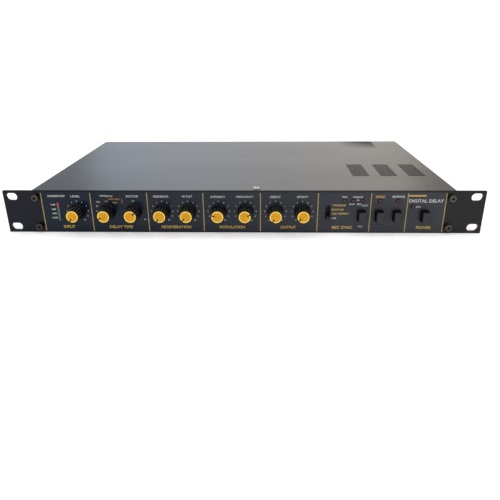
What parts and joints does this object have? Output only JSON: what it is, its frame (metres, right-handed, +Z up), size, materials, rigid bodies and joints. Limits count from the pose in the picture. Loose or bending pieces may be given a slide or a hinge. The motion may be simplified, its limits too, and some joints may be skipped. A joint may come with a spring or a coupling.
{
  "type": "rack effects unit",
  "caption": "Flat rack-mounted audio delay: a wide slotted front panel with knobs, push buttons and lamps on a shallow vented metal box.",
  "frame": {"origin": "centre of the four rack slots, on the back face of the front panel, which lies on the rack", "axes": "+X to the right seen from the front, along the panel; +Y to the rear, along the slots' axes; +Z up"},
  "size_m": [0.4826, 0.287, 0.0443],
  "materials": {
    "panel_paint": "satin, dark slate with black ends",
    "cover_paint": "satin grey",
    "pan_steel": "zinc plated",
    "rear_paint": "satin black",
    "rail_aluminium": "mill finish",
    "screw_black": "black oxide",
    "screw_zinc": "zinc plated",
    "pot_metal": "bright",
    "switch_plastic": "moulded",
    "nut_plate": "nickel plated",
    "lever_plastic": "moulded",
    "lamp_red": "clear red resin",
    "meter_red": "diffused red resin",
    "meter_green": "diffused green resin",
    "board_laminate": "varnished laminate",
    "support_nylon": "natural nylon",
    "chip_epoxy": "moulded epoxy",
    "capacitor_sleeve": "shrink sleeve",
    "heat_sink_black": "black anodised",
    "core_steel": "varnished laminations",
    "winding_tape": "taped copper winding",
    "jack_plastic": "moulded nylon",
    "inlet_plastic": "moulded",
    "knob_plastic": "moulded, fluted",
    "cap_orange": "satin orange-yellow",
    "shaft_metal": "turned",
    "button_plastic": "moulded"
  },
  "bodies": {
    "chassis": {"board_supports": "support_nylon", "chassis_pan": "pan_steel", "control_board": "board_laminate", "control_nuts": "nut_plate", "cover_screws": "screw_zinc", "filter_capacitors": "capacitor_sleeve", "floor_screws": "screw_zinc", "front_panel": "panel_paint", "heat_sink": "heat_sink_black", "indicator_lamps": "lamp_red", "jack_bodies": "jack_plastic", "jack_nuts": "nut_plate", "logic_chips": "chip_epoxy", "main_board": "board_laminate", "mains_inlet": "inlet_plastic", "meter_lamp_red": "meter_red", "meter_lamps_green": "meter_green", "panel_screws": "screw_black", "pot_bodies": "pot_metal", "rear_panel": "rear_paint", "rear_screws": "screw_zinc", "rotary_switch_body": "switch_plastic", "side_rails": "rail_aluminium", "slide_switch_body": "switch_plastic", "switch_bodies": "switch_plastic", "top_cover": "cover_paint", "transformer_core": "core_steel", "transformer_winding": "winding_tape"},
    "level_control": {"knob_level": "knob_plastic", "knob_cap_level": "cap_orange", "shaft_level": "shaft_metal"},
    "time_control": {"knob_time": "knob_plastic", "knob_cap_time": "cap_orange", "shaft_time": "shaft_metal"},
    "factor_control": {"knob_factor": "knob_plastic", "knob_cap_factor": "cap_orange", "shaft_factor": "shaft_metal"},
    "feedback_control": {"knob_feedback": "knob_plastic", "knob_cap_feedback": "cap_orange", "shaft_feedback": "shaft_metal"},
    "hi_cut_control": {"knob_hi_cut": "knob_plastic", "knob_cap_hi_cut": "cap_orange", "shaft_hi_cut": "shaft_metal"},
    "intensity_control": {"knob_intensity": "knob_plastic", "knob_cap_intensity": "cap_orange", "shaft_intensity": "shaft_metal"},
    "frequency_control": {"knob_frequency": "knob_plastic", "knob_cap_frequency": "cap_orange", "shaft_frequency": "shaft_metal"},
    "direct_control": {"knob_direct": "knob_plastic", "knob_cap_direct": "cap_orange", "shaft_direct": "shaft_metal"},
    "effect_control": {"knob_effect": "knob_plastic", "knob_cap_effect": "cap_orange", "shaft_effect": "shaft_metal"},
    "record_key": {"button_record": "button_plastic"},
    "hold_key": {"button_hold": "button_plastic"},
    "bypass_key": {"button_bypass": "button_plastic"},
    "power_key": {"button_power": "button_plastic"},
    "slide_tab": {"slide_lever": "lever_plastic"}
  },
  "joints": [
    {"name": "level_turn", "type": "hinge", "parent": "chassis", "child": "level_control", "pos_m": [-0.167, 0, 0.0004], "axis": [0, 1, 0], "range_deg": [0, 300]},
    {"name": "time_turn", "type": "hinge", "parent": "chassis", "child": "time_control", "pos_m": [-0.136, 0, 0.0004], "axis": [0, 1, 0], "range_deg": [0, 150]},
    {"name": "factor_turn", "type": "hinge", "parent": "chassis", "child": "factor_control", "pos_m": [-0.1094, 0, 0.0004], "axis": [0, 1, 0], "range_deg": [-203, 97]},
    {"name": "feedback_turn", "type": "hinge", "parent": "chassis", "child": "feedback_control", "pos_m": [-0.0804, 0, 0.0004], "axis": [0, 1, 0], "range_deg": [-1, 299]},
    {"name": "hi_cut_turn", "type": "hinge", "parent": "chassis", "child": "hi_cut_control", "pos_m": [-0.0541, 0, 0.0004], "axis": [0, 1, 0], "range_deg": [-13, 287]},
    {"name": "intensity_turn", "type": "hinge", "parent": "chassis", "child": "intensity_control", "pos_m": [-0.0231, 0, 0.0004], "axis": [0, 1, 0], "range_deg": [-74, 226]},
    {"name": "frequency_turn", "type": "hinge", "parent": "chassis", "child": "frequency_control", "pos_m": [0.0038, 0, 0.0004], "axis": [0, 1, 0], "range_deg": [-217, 83]},
    {"name": "direct_turn", "type": "hinge", "parent": "chassis", "child": "direct_control", "pos_m": [0.0341, 0, 0.0004], "axis": [0, 1, 0], "range_deg": [0, 300]},
    {"name": "effect_turn", "type": "hinge", "parent": "chassis", "child": "effect_control", "pos_m": [0.0611, 0, 0.0004], "axis": [0, 1, 0], "range_deg": [-19, 281]},
    {"name": "record_press", "type": "slide", "parent": "chassis", "child": "record_key", "axis": [0, 1, 0], "range_m": [0, 0.003], "stiffness_N_per_m": 300, "springref_m": -0.002},
    {"name": "hold_press", "type": "slide", "parent": "chassis", "child": "hold_key", "axis": [0, 1, 0], "range_m": [0, 0.003], "stiffness_N_per_m": 300, "springref_m": -0.002},
    {"name": "bypass_press", "type": "slide", "parent": "chassis", "child": "bypass_key", "axis": [0, 1, 0], "range_m": [0, 0.003], "stiffness_N_per_m": 300, "springref_m": -0.002},
    {"name": "power_press", "type": "slide", "parent": "chassis", "child": "power_key", "axis": [0, 1, 0], "range_m": [0, 0.003], "stiffness_N_per_m": 300, "springref_m": -0.002},
    {"name": "slide_move", "type": "slide", "parent": "chassis", "child": "slide_tab", "axis": [0, 0, 1], "range_m": [0, 0.0108]}
  ]
}
